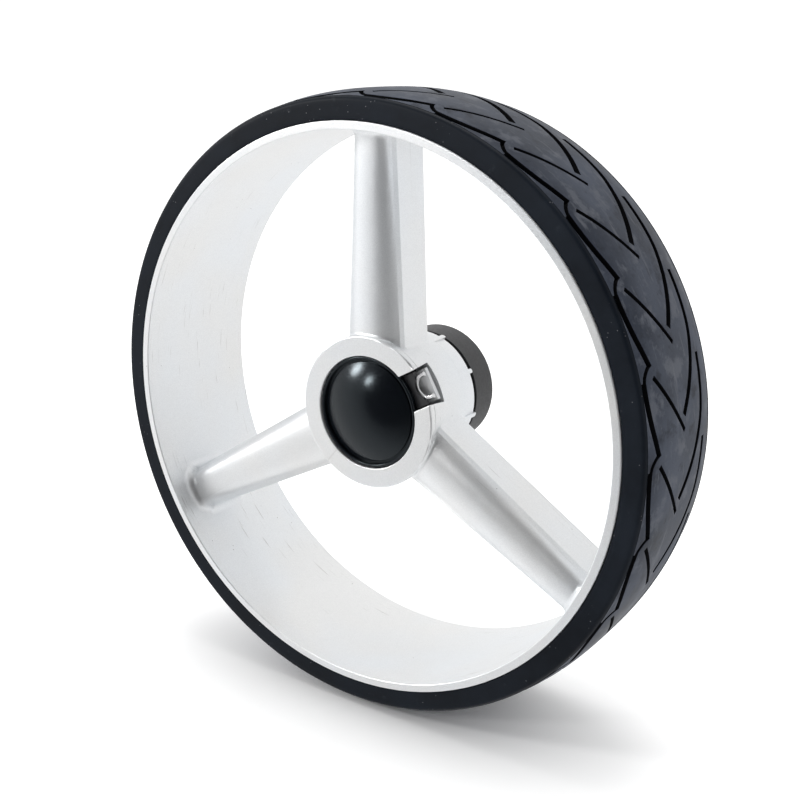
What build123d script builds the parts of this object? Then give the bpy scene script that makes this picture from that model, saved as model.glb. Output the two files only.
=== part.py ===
from build123d import *
from math import cos, radians, sin, sqrt
import os

# Quick-release drive wheel of an electric golf trolley: a solid rubber tyre on a one-piece
# three-spoke moulding, running on two ball bearings round a steel axle sleeve, with a drive
# collar at the back and a thumb-operated axle latch under the hub cap.
# Millimetres. The origin is the wheel's centre, the wheel spins about +Y, and +Z is up.
# The outer face, with the hub cap, looks along -Y. Depths count from the rim's front face.

# --- Tyre and rim -------------------------------------------------------------------------
TYRE_RADIUS = 145.0
CROWN_DROP = 3.0           # how much lower the tread is at its shoulders
TYRE_FRONT = 0.6           # depth of the front sidewall
TYRE_WIDTH = 69.0
SHOULDER_ROUND = 2.0
RIM_WIDTH = 73.5
RIM_RADIUS = 131.9         # seat of the tyre
RIM_FRONT_BORE = 128.1     # inner radius at the front lip
RIM_BACK_BORE = 130.2
BACK_FLANGE_RADIUS = 134.0
KEY_HEIGHT = 3.0           # rib round the rim that keys the tyre
KEY_WIDTH = 12.0
KEY_DEPTH = 30.0

# --- Spokes -------------------------------------------------------------------------------
SPOKES = 3
FIRST_SPOKE_DEG = 90.0
SPOKE_INNER = 26.0         # radii between which each spoke is lofted
SPOKE_OUTER = 129.6
SPOKE_BACK = 39.5
WEB_HALF = (15.85, 10.5)   # half width of the web at the inner and the outer radius
NOSE_STEP = 1.25           # the rounded nose is this much narrower on each side
NOSE_FRONT = (13.7, 12.0)
NOSE_SIDE = (18.9, 16.9)
NOSE_EDGE_DEG = (47.0, 72.0)  # how steep the nose is at its sides
WEB_FRONT = (20.9, 18.7)
RIM_FILLET = 4.2
FLANK_FILLET = 2.2         # where the webs meet the barrel
NOSE_FILLET = 1.5          # where the noses meet the face ring
RELIEF_DEPTH = 7.0         # moulded relief in the back of each spoke
RELIEF_WALL = 3.2

# --- Hub shell ----------------------------------------------------------------------------
FACE_DEPTH = 12.4          # flat ring round the cap
FACE_RADIUS = 36.1
FACE_ROUND = 0.8           # outer edge of the face ring
CAP_OPENING = 26.8
OPENING_ROUND = 0.5
FACE_BACK = 15.6
GROOVE_RADIUS = 33.5
GROOVE_END = 17.2
BARREL_FRONT_RADIUS = 35.2
BARREL_BACK_RADIUS = 33.0
BARREL_STEP = 46.8
STEP_ROUND = 0.6
TAIL_FRONT_RADIUS = 31.2
TAIL_BACK_RADIUS = 30.2
TAIL_END = 59.1
HUB_CAVITY = 32.2
TAIL_BORE = 28.0
BULKHEAD = 27.0
BULKHEAD_THICK = 3.0
BOSS_RADIUS = 19.5
BOSS_LAND = 13.5
BOSS_END = 50.0
RIBS = 9
RIB_FIRST_DEG = 27.5
RIB_WIDTH = 2.2
RIB_TIP = 60.0
RIB_LOW = 28.9
RIB_HIGH = 31.5
STIFFENER_THICK = 2.6
SCREW_POST = 4.2           # posts that take the collar screws
CARRIER_POST = 3.4         # posts that take the carrier screws
CARRIER_POST_END = 36.0

# --- Thumb notch and latch, along a direction that runs out from the axle ------------------
NOTCH_DEG = 30.0
NOTCH_HALF = 8.3
NOTCH_HALF_BACK = 9.7
NOTCH_BACK = 26.4
NOTCH_ROUND = 0.5          # edges of the face ring along the notch
LATCH_TRAVEL = 4.0
SLIDE_GAP = 0.3
SLIDER_FRONT = 16.0
SLIDER_BACK = 21.5
SLIDER_HALF = 11.9
SLIDER_INNER = -20.0
SLIDER_SHOULDER = 20.6
SLIDER_ROUND = 24.9        # the inner corners follow the carrier's round wall
TAB_HALF = 7.8
TAB_END = 31.0
TAB_BACK = 18.7            # the tab is thinner than the catch's body
SHAFT_SLOT = 6.8
LOOP_CENTRE = 34.2
LOOP_RADIUS = 5.3
LOOP_WIRE = 1.0            # radius of the wire
LOOP_TIP = 35.6
LOOP_DEPTH = 17.5
PLATE_BACK = 23.5
PLATE_HALF = 11.0
PLATE_CORNER = 2.0
PLATE_SPAN = (-18.0, 17.0)
TONGUE_HALF = 7.6          # the plate's tongue under the thumb tab
TONGUE_END = 34.2
KEYHOLE = 4.7              # grips the groove of the axle
KEYHOLE_FREE = 6.3         # lets the axle through
RIVET_SPOTS = (-14.0, 15.0)
RIVET_RADIUS = 1.5
RIVET_HEAD = 2.5
RIVET_HEAD_THICK = 1.2
CARRIER_RADIUS = 26.5
CARRIER_WALL_INSIDE = 25.2
CARRIER_FRONT = 15.6
CARRIER_FLOOR = 23.9
CARRIER_HOLE = 10.8
CARRIER_SPIGOT = (13.4, 15.8)
CARRIER_SCREW_CIRCLE = 22.0
CARRIER_SCREW_DEGS = (60, 120, 240, 300)   # from the latch's direction
CARRIER_SCREW_RADIUS = 1.5
CARRIER_SCREW_HEAD = 2.8
CARRIER_SCREW_SEAT = 21.0
CARRIER_SCREW_END = 34.0
SPRING_OFFSET = 8.0
SPRING_RADIUS = 2.0        # to the middle of the wire
SPRING_WIRE = 0.35
SPRING_TURNS = 7
SPRING_ENDS = (-22.4, -9.0)
SPRING_SLOT_HALF = 2.6
SPRING_SEAT_HALF = 2.2

# --- Cap ----------------------------------------------------------------------------------
CAP_RADIUS = 26.5
CAP_EDGE = 24.9            # inside of the raised rim
CAP_EDGE_FRONT = 13.2
CAP_EDGE_ROUND = 0.7
CAP_FLOOR = 15.0           # bottom of the groove between the rim and the dome
DOME_RADIUS = 23.6
DOME_FOOT = 14.3
DOME_RISE = 6.1
CAP_WALL = 2.0
PEG_OFFSET = 23.6
PEG_RADIUS = 1.6
PEG_END = 20.0

# --- Axle sleeve, bearings and drive collar -----------------------------------------------
AXLE_BORE = 6.0
SLEEVE_RADIUS = 7.5
SLEEVE_FRONT = 26.4
SLEEVE_BACK = 71.8
SLEEVE_SHOULDER = 9.0
SPACER_RADIUS = 9.2
BEARING_WIDTH = 9.0
BEARING_OUTER = 16.0
FRONT_BEARING = 29.0
REAR_BEARING = 58.0
RACE_INNER_LAND = 9.9
RACE_OUTER_LAND = 13.6
BALL_PITCH = 11.75
BALL_RADIUS = 2.38
BALL_PLAY = 0.05
BALLS = 9
CAGE_RADII = (11.0, 12.5)
CAGE_HALF = 3.1
SHIELD_INNER = 10.2
SHIELD_INSET = 0.2
SHIELD_THICK = 0.4
CIRCLIP_GROOVE = 7.1
CIRCLIP_RADIUS = 9.0
CIRCLIP = (27.4, 28.4)
CIRCLIP_EAR = 9.1          # distance of its ears from the axle
WASHER_RADIUS = 10.0
COLLAR_RADIUS = 29.6
COLLAR_FRONT = 62.4
COLLAR_BACK = 78.3
COLLAR_EDGE = 1.0
COLLAR_SPIGOT = 27.9
COLLAR_BORE = 10.5
SPIGOT_FRONT = 51.5
NECK_RADIUS = 26.3
POCKET_RADIUS = 28.9       # ring-shaped pocket behind the hub's open end
POCKET_END = 65.2
RETAINER = (67.0, 68.2)
RETAINER_GROOVE = 16.85
RETAINER_INNER = 14.6
RETAINER_EAR = 14.4
EAR_RADIUS = 1.3
EAR_HOLE = 0.6
SEAL = (68.5, 71.3)
SEAL_LIP = 9.05
SEAL_BACK = 9.8
SCREW_CIRCLE = 23.6
SCREW_FIRST_DEG = 60.0
SCREW_RADIUS = 2.0
SCREW_HEAD = 3.5
SCREW_HEAD_THICK = 3.5
SCREW_SEAT = 70.0
SCREW_END = 40.0
SCREW_SOCKET = 1.7         # across the corners of the hexagon, halved
DRIVE_SLOTS = 6
SLOT_FIRST_DEG = 30.0
SLOT_HALF = 3.3
SLOT_DEPTH = 6.0
SLOT_OUTER = 21.5


def at(depth):
    """Y of a depth measured from the rim's front face."""
    return depth - RIM_WIDTH / 2


def turned(points):
    """Solid of revolution about the axle from (radius, depth) corners."""
    outline = Polyline([(r, at(d)) for r, d in points], close=True)
    return revolve(make_face(outline), Axis.Y, 360)


def ring(r_in, r_out, front, back):
    """Plain washer between two depths."""
    return turned([(r_in, front), (r_out, front), (r_out, back), (r_in, back)])


def swung(shape, deg):
    """Turns a shape made on +X round the axle, anticlockwise as seen from the outer face."""
    return Rot(0, -deg, 0) * shape


def rod(radius, x, z, front, back):
    """Cylinder parallel to the axle."""
    body = Cylinder(radius, back - front)
    return Pos(x, at((front + back) / 2), z) * (Rot(90, 0, 0) * body)


def block(x0, x1, half, front, back):
    """Box on +X, centred across, between two depths."""
    body = Box(x1 - x0, back - front, 2 * half)
    return Pos((x0 + x1) / 2, at((front + back) / 2), 0) * body


def spread(count, first):
    """Angles evenly round the axle."""
    return [first + 360 * i / count for i in range(count)]


def section(radius):
    """Plane across a spoke that lies along +X: its x runs across the spoke, its y along +Y."""
    return Plane(origin=(radius, 0, 0), x_dir=(0, 0, 1), z_dir=(-1, 0, 0))


def merged(shapes):
    """All the shapes fused into one."""
    body = shapes[0]
    for other in shapes[1:]:
        body = body + other
    return body


# --- Tyre ---------------------------------------------------------------------------------
def tyre():
    """Solid tyre: crowned tread, flat sidewalls, and a groove inside for the rim's key."""
    front, back = at(TYRE_FRONT), at(TYRE_FRONT + TYRE_WIDTH)
    shoulder = TYRE_RADIUS - CROWN_DROP
    seat = RIM_RADIUS + 0.05
    top = seat + KEY_HEIGHT
    key_front, key_back = at(KEY_DEPTH), at(KEY_DEPTH + KEY_WIDTH)
    mid = (front + back) / 2
    half = (back - front) / 2 - SHOULDER_ROUND
    crown = [(TYRE_RADIUS - CROWN_DROP * abs(u) ** 3, mid + u * half) for u in (-1, -0.6, 0, 0.6, 1)]
    slope = 3 * CROWN_DROP / half
    tread = Spline(crown, tangents=[(slope, 1), (-slope, 1)])
    flank = shoulder - SHOULDER_ROUND
    outline = [
        Line((seat, front), (flank, front)),
        RadiusArc((flank, front), (shoulder, front + SHOULDER_ROUND), -SHOULDER_ROUND),
        tread,
        RadiusArc((shoulder, back - SHOULDER_ROUND), (flank, back), -SHOULDER_ROUND),
        Polyline((flank, back), (seat, back), (seat, key_back), (top, key_back)),
        Polyline((top, key_back), (top, key_front), (seat, key_front), (seat, front)),
    ]
    return revolve(make_face(outline), Axis.Y, 360)


# --- Wheel moulding -----------------------------------------------------------------------
def rim():
    """Rim band with its front lip, key rib and back flange."""
    key_top = RIM_RADIUS + KEY_HEIGHT
    seat_end = TYRE_FRONT + TYRE_WIDTH + 0.1
    body = turned([
        (RIM_FRONT_BORE, 0), (RIM_RADIUS, 0),
        (RIM_RADIUS, KEY_DEPTH), (key_top, KEY_DEPTH),
        (key_top, KEY_DEPTH + KEY_WIDTH), (RIM_RADIUS, KEY_DEPTH + KEY_WIDTH),
        (RIM_RADIUS, seat_end), (BACK_FLANGE_RADIUS, seat_end),
        (BACK_FLANGE_RADIUS, RIM_WIDTH), (RIM_BACK_BORE, RIM_WIDTH),
    ])
    corners = body.edges().filter_by(GeomType.CIRCLE).filter_by(
        lambda e: abs(e.center().Y - at(0)) < 0.01 or abs(e.center().Y - at(RIM_WIDTH)) < 0.01
    )
    return fillet(corners, 0.5)


def spoke_outline(end):
    """Outline across a spoke at its inner (0) or outer (1) radius: nose, step, web."""
    web = WEB_HALF[end]
    nose = web - NOSE_STEP
    tip, side = at(NOSE_FRONT[end]), at(NOSE_SIDE[end])
    front, back = at(WEB_FRONT[end]), at(SPOKE_BACK)
    run, rise = cos(radians(NOSE_EDGE_DEG[end])), sin(radians(NOSE_EDGE_DEG[end]))
    return [
        Spline([(-nose, side), (0, tip), (nose, side)], tangents=[(run, -rise), (run, rise)]),
        Polyline((nose, side), (web, front), (web, back), (-web, back), (-web, front), (-nose, side)),
    ]


def spoke():
    """One spoke along +X, with a moulded relief in its back."""
    faces = [
        section(r) * make_face(spoke_outline(end))
        for end, r in enumerate((SPOKE_INNER, SPOKE_OUTER))
    ]
    return loft(faces, ruled=True)


def spoke_relief():
    """Tapered pocket cut in the back of a spoke on +X."""
    inner, outer = BARREL_FRONT_RADIUS + 9, RIM_FRONT_BORE - 9
    faces = []
    for r in (inner, outer):
        share = (r - SPOKE_INNER) / (SPOKE_OUTER - SPOKE_INNER)
        half = WEB_HALF[0] + share * (WEB_HALF[1] - WEB_HALF[0]) - RELIEF_WALL
        middle = at(SPOKE_BACK - RELIEF_DEPTH / 2 + 0.5)
        faces.append(section(r) * Pos(0, middle) * Rectangle(2 * half, RELIEF_DEPTH + 1))
    return loft(faces, ruled=True)


def hub_shell():
    """Hub outside: face ring, groove, tapering barrel and stepped tail, with the inner boss."""
    wall = BULKHEAD + BULKHEAD_THICK
    shoulder = FRONT_BEARING + BEARING_WIDTH
    body = turned([
        (CAP_OPENING, FACE_DEPTH), (FACE_RADIUS, FACE_DEPTH), (FACE_RADIUS, FACE_BACK),
        (GROOVE_RADIUS, FACE_BACK + 0.2), (GROOVE_RADIUS, GROOVE_END - 0.2),
        (BARREL_FRONT_RADIUS, GROOVE_END), (BARREL_BACK_RADIUS, BARREL_STEP),
        (TAIL_FRONT_RADIUS, BARREL_STEP + 0.6), (TAIL_BACK_RADIUS, TAIL_END),
        (TAIL_BORE, TAIL_END), (TAIL_BORE, wall), (BOSS_RADIUS, wall), (BOSS_RADIUS, BOSS_END),
        (BOSS_LAND, BOSS_END), (BOSS_LAND, shoulder), (BEARING_OUTER, shoulder),
        (BEARING_OUTER, BULKHEAD), (HUB_CAVITY, BULKHEAD), (HUB_CAVITY, FACE_BACK),
        (CAP_OPENING, FACE_BACK),
    ])
    rounds = ((FACE_RADIUS, FACE_ROUND), (CAP_OPENING, OPENING_ROUND), (BARREL_BACK_RADIUS, STEP_ROUND))
    for radius, size in rounds:
        rims = body.edges().filter_by(GeomType.CIRCLE).filter_by(lambda e: abs(e.radius - radius) < 0.01)
        body = fillet(rims.sort_by(Axis.Y)[:1], size)
    return body


def tail_rib():
    """Thin rib along the hub's tail, with a rounded tip that reaches over to the collar."""
    body = block(RIB_LOW, RIB_HIGH, RIB_WIDTH / 2, BARREL_STEP - 1, RIB_TIP)
    tips = body.edges().filter_by(Axis.X).filter_by(lambda e: e.center().Y > at(RIB_TIP) - 0.01)
    return fillet(tips, RIB_WIDTH / 2 - 0.05)


def stiffener():
    """Web between the boss and the barrel, behind a spoke's root."""
    return block(BOSS_RADIUS - 1, TAIL_BORE + 1, STIFFENER_THICK / 2, BULKHEAD + 1, BOSS_END)


def screw_post():
    """Post on +X that takes a collar screw."""
    return rod(SCREW_POST, SCREW_CIRCLE, 0, BULKHEAD + 1, SPIGOT_FRONT)


def carrier_post():
    """Post on +X behind the bulkhead that takes a carrier screw."""
    return rod(CARRIER_POST, CARRIER_SCREW_CIRCLE, 0, BULKHEAD + 1, CARRIER_POST_END)


def screw_holes():
    """Pilot holes of the collar screws and of the carrier screws."""
    collar = rod(SCREW_RADIUS, SCREW_CIRCLE, 0, SCREW_END, SPIGOT_FRONT + 1)
    carrier = rod(CARRIER_SCREW_RADIUS, CARRIER_SCREW_CIRCLE, 0, BULKHEAD - 1, CARRIER_SCREW_END)
    holes = [swung(collar, a) for a in spread(3, SCREW_FIRST_DEG)]
    return merged(holes + [swung(carrier, NOTCH_DEG + a) for a in CARRIER_SCREW_DEGS])


def notch():
    """Thumb opening on +X, through the face ring and the barrel's wall, wider at its back."""
    outline = Polyline(
        (-NOTCH_HALF, at(FACE_DEPTH - 2)), (NOTCH_HALF, at(FACE_DEPTH - 2)),
        (NOTCH_HALF_BACK, at(NOTCH_BACK)), (-NOTCH_HALF_BACK, at(NOTCH_BACK)), close=True,
    )
    return extrude(section(FACE_RADIUS + 4) * make_face(outline), amount=20)


def hub_interior():
    """Room inside the hub: cap opening, latch bay, bearing seat and the space behind."""
    return merged([
        ring(0, CAP_OPENING, 0, FACE_BACK), ring(0, HUB_CAVITY, FACE_BACK, BULKHEAD),
        ring(0, BEARING_OUTER, BULKHEAD, FRONT_BEARING + BEARING_WIDTH),
        ring(0, BOSS_LAND, BULKHEAD, BOSS_END + 5),
        ring(BOSS_RADIUS, TAIL_BORE, BULKHEAD + BULKHEAD_THICK, TAIL_END),
    ])


def wheel_moulding():
    """Rim, spokes and hub in one piece."""
    spoke_degs = spread(SPOKES, FIRST_SPOKE_DEG)
    body = merged([hub_shell()] + [swung(spoke(), a) for a in spoke_degs])
    body = body - hub_interior() + rim()
    body = fillet(rim_roots(body), RIM_FILLET)
    body = fillet(flank_roots(body), FLANK_FILLET)
    body = fillet(nose_roots(body), NOSE_FILLET)
    body = body - merged([swung(spoke_relief(), a) for a in spoke_degs])
    added = [swung(tail_rib(), a) for a in spread(RIBS, RIB_FIRST_DEG)]
    added += [swung(stiffener(), a) for a in spoke_degs]
    added += [swung(screw_post(), a) for a in spread(3, SCREW_FIRST_DEG)]
    added += [swung(carrier_post(), NOTCH_DEG + a) for a in CARRIER_SCREW_DEGS]
    body = merged([body] + added)
    body = body - swung(notch(), NOTCH_DEG)
    body = fillet(notch_edges(body), NOTCH_ROUND)
    return body - screw_holes() - ring(0, BOSS_LAND, BULKHEAD, BOSS_END + 5)


def off_axle(point):
    """Distance of a point from the axle's axis."""
    return sqrt(point.X ** 2 + point.Z ** 2)


def rim_roots(body):
    """Edges where the spokes meet the inside of the rim."""
    return body.edges().filter_by(
        lambda e: RIM_FRONT_BORE - 0.5 < off_axle(e.center()) < RIM_BACK_BORE
        and at(8) < e.center().Y < at(44) and e.length < 60
    )


def flank_roots(body):
    """Edges along the axle where the flanks of the spokes meet the barrel."""
    return body.edges().filter_by(
        lambda e: at(GROOVE_END) < e.center().Y < at(SPOKE_BACK)
        and all(BARREL_BACK_RADIUS < off_axle(e @ t) < BARREL_FRONT_RADIUS for t in (0, 0.5, 1))
        and e.geom_type not in (GeomType.LINE, GeomType.CIRCLE) and 18 < e.length < 20
    )


def notch_edges(body):
    """Straight edges on the face ring along both sides of the notch."""
    return body.edges().filter_by(GeomType.LINE).filter_by(
        lambda e: abs(e.center().Y - at(FACE_DEPTH)) < 0.01
        and CAP_OPENING < off_axle(e.center()) < FACE_RADIUS
    )


def nose_roots(body):
    """Edges where the noses of the spokes meet the face ring."""
    return body.edges().filter_by(GeomType.BSPLINE).filter_by(
        lambda e: 19 < e.length < 29 and abs(off_axle(e @ 0.5) - FACE_RADIUS) < 0.05
    )


# --- Cap ----------------------------------------------------------------------------------
def hub_cap():
    """Domed cap with a raised rim, a groove inside it, and two pegs that press into the carrier."""
    ball = (DOME_RADIUS ** 2 + DOME_RISE ** 2) / (2 * DOME_RISE)
    centre = Pos(0, at(DOME_FOOT - DOME_RISE + ball), 0)
    back = CARRIER_FRONT
    edge = ring(CAP_EDGE, CAP_RADIUS, CAP_EDGE_FRONT, back)
    rims = edge.edges().filter_by(lambda e: e.center().Y < at(CAP_EDGE_FRONT) + 0.01)
    dome = centre * Sphere(ball) & ring(0, DOME_RADIUS, 0, back)
    body = dome + ring(0, CAP_EDGE + 0.1, CAP_FLOOR, back) + fillet(rims, CAP_EDGE_ROUND)
    hollow = centre * Sphere(ball - CAP_WALL) & ring(0, DOME_RADIUS - CAP_WALL, 0, back + 1)
    peg = rod(PEG_RADIUS, 0, PEG_OFFSET, back - 0.5, PEG_END)
    return body - hollow + swung(merged([peg, Rot(0, 180, 0) * peg]), NOTCH_DEG)


# --- Latch, built along +X and then swung to the notch ---------------------------------------
def carrier_screw_cuts():
    """Holes and counterbores of the carrier screws."""
    hole = rod(CARRIER_SCREW_RADIUS, CARRIER_SCREW_CIRCLE, 0, CARRIER_SCREW_SEAT, BULKHEAD)
    room = rod(CARRIER_SCREW_HEAD + 0.3, CARRIER_SCREW_CIRCLE, 0, CARRIER_FRONT, CARRIER_SCREW_SEAT)
    return merged([swung(shape, a) for a in CARRIER_SCREW_DEGS for shape in (hole, room)])


def latch_carrier():
    """Round block behind the cap, with the channel that the catch slides in."""
    disc = ring(0, CARRIER_RADIUS, CARRIER_FRONT, BULKHEAD)
    shoulder = SLIDER_SHOULDER + SLIDE_GAP
    mouth = block(0, CARRIER_RADIUS + 1, TAB_HALF + SLIDE_GAP, CARRIER_FRONT, CARRIER_FLOOR)
    channel = block(-CARRIER_RADIUS, shoulder, SLIDER_HALF + SLIDE_GAP, CARRIER_FRONT, CARRIER_FLOOR)
    inner = SLIDER_INNER - LATCH_TRAVEL - SLIDE_GAP
    channel = channel & ring(0, CARRIER_WALL_INSIDE, CARRIER_FRONT, CARRIER_FLOOR)
    channel = channel & block(inner, shoulder, CARRIER_RADIUS, CARRIER_FRONT, CARRIER_FLOOR)
    body = disc - channel - mouth
    body = body - ring(0, CARRIER_HOLE, CARRIER_FRONT, BULKHEAD) - carrier_screw_cuts()
    seat = block(inner - 1, SPRING_ENDS[0], SPRING_SEAT_HALF, SLIDER_FRONT, CARRIER_FLOOR + 1)
    seats = [Pos(0, 0, side * SPRING_OFFSET) * seat & disc for side in (-1, 1)]
    spigot = ring(CARRIER_SPIGOT[0], CARRIER_SPIGOT[1], BULKHEAD, FRONT_BEARING)
    pegs = [rod(PEG_RADIUS, 0, side * PEG_OFFSET, CARRIER_FRONT, PEG_END) for side in (-1, 1)]
    return swung(merged([body, spigot] + seats) - merged(pegs), NOTCH_DEG)


def carrier_screws():
    """Pan-head screws that hold the latch carrier to the bulkhead."""
    seat = CARRIER_SCREW_SEAT
    shank = rod(CARRIER_SCREW_RADIUS, CARRIER_SCREW_CIRCLE, 0, seat - 1, CARRIER_SCREW_END)
    head = rod(CARRIER_SCREW_HEAD, CARRIER_SCREW_CIRCLE, 0, seat - 2, seat)
    screw = head + shank - cross_recess(CARRIER_SCREW_CIRCLE, seat - 2)
    return Compound([swung(screw, NOTCH_DEG + a).solid() for a in CARRIER_SCREW_DEGS])


def cross_recess(x, front):
    """Cross-shaped driver recess on +X."""
    reach, half, back = 1.4, 0.3, front + 1
    return block(x - reach, x + reach, half, front, back) + block(x - half, x + half, reach, front, back)


def catch_slider():
    """Sliding catch: a wide body with room for the axle and the springs, and a thumb tab."""
    body = block(SLIDER_INNER, SLIDER_SHOULDER, SLIDER_HALF, SLIDER_FRONT, SLIDER_BACK)
    body = body & Pos(LATCH_TRAVEL, 0, 0) * ring(0, SLIDER_ROUND, SLIDER_FRONT, SLIDER_BACK)
    body = body + block(SLIDER_SHOULDER - 1, TAB_END, TAB_HALF, SLIDER_FRONT, TAB_BACK)
    slot = [rod(SHAFT_SLOT, x, 0, SLIDER_FRONT, SLIDER_BACK) for x in (0, LATCH_TRAVEL)]
    slot.append(block(0, LATCH_TRAVEL, SHAFT_SLOT, SLIDER_FRONT, SLIDER_BACK))
    room = block(SLIDER_INNER - 1, SPRING_ENDS[1], SPRING_SLOT_HALF, SLIDER_FRONT, SLIDER_BACK)
    rooms = [Pos(0, 0, side * SPRING_OFFSET) * room for side in (-1, 1)]
    end = rod(LOOP_RADIUS, LOOP_CENTRE, 0, SLIDER_FRONT, SLIDER_BACK)
    heads = [rod(RIVET_HEAD, x, 0, SLIDER_FRONT, SLIDER_FRONT + RIVET_HEAD_THICK) for x in RIVET_SPOTS]
    shanks = [rod(RIVET_RADIUS, x, 0, SLIDER_FRONT, SLIDER_BACK) for x in RIVET_SPOTS]
    return swung(body - merged(slot + rooms + [end] + heads + shanks) - loop_wire(), NOTCH_DEG)


def latch_plate():
    """Steel plate under the catch whose keyhole grips the groove of the axle."""
    body = block(PLATE_SPAN[0], PLATE_SPAN[1], PLATE_HALF, SLIDER_BACK, PLATE_BACK)
    holes = [rod(KEYHOLE, 0, 0, SLIDER_BACK, PLATE_BACK)]
    holes.append(rod(KEYHOLE_FREE, LATCH_TRAVEL, 0, SLIDER_BACK, PLATE_BACK))
    holes += [rod(RIVET_RADIUS, x, 0, SLIDER_BACK, PLATE_BACK) for x in RIVET_SPOTS]
    body = fillet(body.edges().filter_by(Axis.Y), PLATE_CORNER)
    tongue = block(PLATE_SPAN[1] - 2, TONGUE_END, TONGUE_HALF, SLIDER_BACK, PLATE_BACK)
    return swung(body + tongue - merged(holes), NOTCH_DEG)


def latch_rivets():
    """Flush rivets that join the plate to the catch."""
    rivets = []
    for x in RIVET_SPOTS:
        head = rod(RIVET_HEAD, x, 0, SLIDER_FRONT, SLIDER_FRONT + RIVET_HEAD_THICK)
        rivets.append(swung(head + rod(RIVET_RADIUS, x, 0, SLIDER_FRONT, PLATE_BACK), NOTCH_DEG).solid())
    return Compound(rivets)


def loop_wire():
    """Bent wire along +X: a half circle that is closed towards the axle, with short arms."""
    y = at(LOOP_DEPTH)
    near = (LOOP_CENTRE - LOOP_RADIUS, y, 0)
    path = Wire([
        Line((LOOP_TIP, y, -LOOP_RADIUS), (LOOP_CENTRE, y, -LOOP_RADIUS)).edge(),
        ThreePointArc((LOOP_CENTRE, y, -LOOP_RADIUS), near, (LOOP_CENTRE, y, LOOP_RADIUS)).edge(),
        Line((LOOP_CENTRE, y, LOOP_RADIUS), (LOOP_TIP, y, LOOP_RADIUS)).edge(),
    ])
    profile = Plane(origin=path @ 0, z_dir=path % 0) * Circle(LOOP_WIRE)
    return sweep(profile, path=path)


def thumb_loop():
    """Steel thumb piece at the end of the catch."""
    return swung(loop_wire(), NOTCH_DEG)


def catch_springs():
    """Two compression springs between the carrier's end wall and the catch."""
    start, stop = SPRING_ENDS
    length = stop - start - 2 * SPRING_WIRE
    springs = []
    for side in (-1, 1):
        foot = (start + SPRING_WIRE, at((SLIDER_FRONT + SLIDER_BACK) / 2), side * SPRING_OFFSET)
        coil = Helix(length / SPRING_TURNS, length, SPRING_RADIUS, center=foot, direction=(1, 0, 0))
        profile = Plane(origin=coil @ 0, z_dir=coil % 0) * Circle(SPRING_WIRE)
        springs.append(swung(sweep(profile, path=coil, is_frenet=True), NOTCH_DEG).solid())
    return Compound(springs)


# --- Bearings -----------------------------------------------------------------------------
def ball_track(front):
    """Ring-shaped room that the balls of a bearing run in."""
    track = Rot(90, 0, 0) * Torus(BALL_PITCH, BALL_RADIUS + BALL_PLAY)
    return Pos(0, at(front + BEARING_WIDTH / 2), 0) * track


def outer_race(front):
    """Outer race of a bearing whose front face is at a depth."""
    return ring(RACE_OUTER_LAND, BEARING_OUTER, front, front + BEARING_WIDTH) - ball_track(front)


def inner_race(front):
    """Inner race of the same bearing."""
    return ring(SLEEVE_RADIUS, RACE_INNER_LAND, front, front + BEARING_WIDTH) - ball_track(front)


def balls(front):
    """Balls of a bearing."""
    ball = Pos(BALL_PITCH, at(front + BEARING_WIDTH / 2), 0) * Sphere(BALL_RADIUS)
    return Compound([swung(ball, a).solid() for a in spread(BALLS, FIRST_SPOKE_DEG)])


def cage(front):
    """Ring with a round pocket for each ball."""
    middle = front + BEARING_WIDTH / 2
    body = ring(CAGE_RADII[0], CAGE_RADII[1], middle - CAGE_HALF, middle + CAGE_HALF)
    bore = Rot(0, 90, 0) * Cylinder(BALL_RADIUS + BALL_PLAY, 2 * BALL_RADIUS)
    pocket = Pos(BALL_PITCH, at(middle), 0) * bore
    return body - [swung(pocket, a) for a in spread(BALLS, FIRST_SPOKE_DEG)]


def shields(front):
    """Thin covers at both faces of a bearing."""
    inset = SHIELD_INSET
    back = front + BEARING_WIDTH
    return Compound([
        ring(SHIELD_INNER, RACE_OUTER_LAND, front + inset, front + inset + SHIELD_THICK).solid(),
        ring(SHIELD_INNER, RACE_OUTER_LAND, back - inset - SHIELD_THICK, back - inset).solid(),
    ])


# --- Axle sleeve and what sits on it ----------------------------------------------------------
def axle_sleeve():
    """Steel sleeve that the trolley's axle slides through, with a shoulder at its back."""
    body = ring(AXLE_BORE, SLEEVE_RADIUS, SLEEVE_FRONT, SLEEVE_BACK)
    body = body + ring(AXLE_BORE, SLEEVE_SHOULDER, REAR_BEARING + BEARING_WIDTH, SLEEVE_BACK)
    ends = body.edges().filter_by(GeomType.CIRCLE).filter_by(
        lambda e: abs(e.radius - AXLE_BORE) < 0.01 or e.center().Y > at(SLEEVE_BACK) - 0.01
    )
    return chamfer(ends, 0.4) - ring(CIRCLIP_GROOVE, SLEEVE_RADIUS + 1, CIRCLIP[0], CIRCLIP[1])


def inner_spacer():
    """Tube that keeps the inner races apart."""
    return ring(SLEEVE_RADIUS, SPACER_RADIUS, FRONT_BEARING + BEARING_WIDTH, REAR_BEARING)


def open_ring(r_in, r_out, span, ear):
    """Spring ring with a gap at the bottom and an eared hole on each side of it."""
    front, back = span
    gap_deg, ear_deg = 16, 25
    body = ring(r_in, r_out, front, back)
    ears = [swung(rod(EAR_RADIUS, ear, 0, front, back), 270 + side * ear_deg) for side in (-1, 1)]
    holes = [swung(rod(EAR_HOLE, ear, 0, front, back), 270 + side * ear_deg) for side in (-1, 1)]
    half = r_out * sin(radians(gap_deg))
    gap = swung(block(r_in - 3, r_out + 3, half, front, back), 270)
    return body + merged(ears) - merged(holes) - gap - ring(0, r_in - 2.5, front, back)


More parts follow.
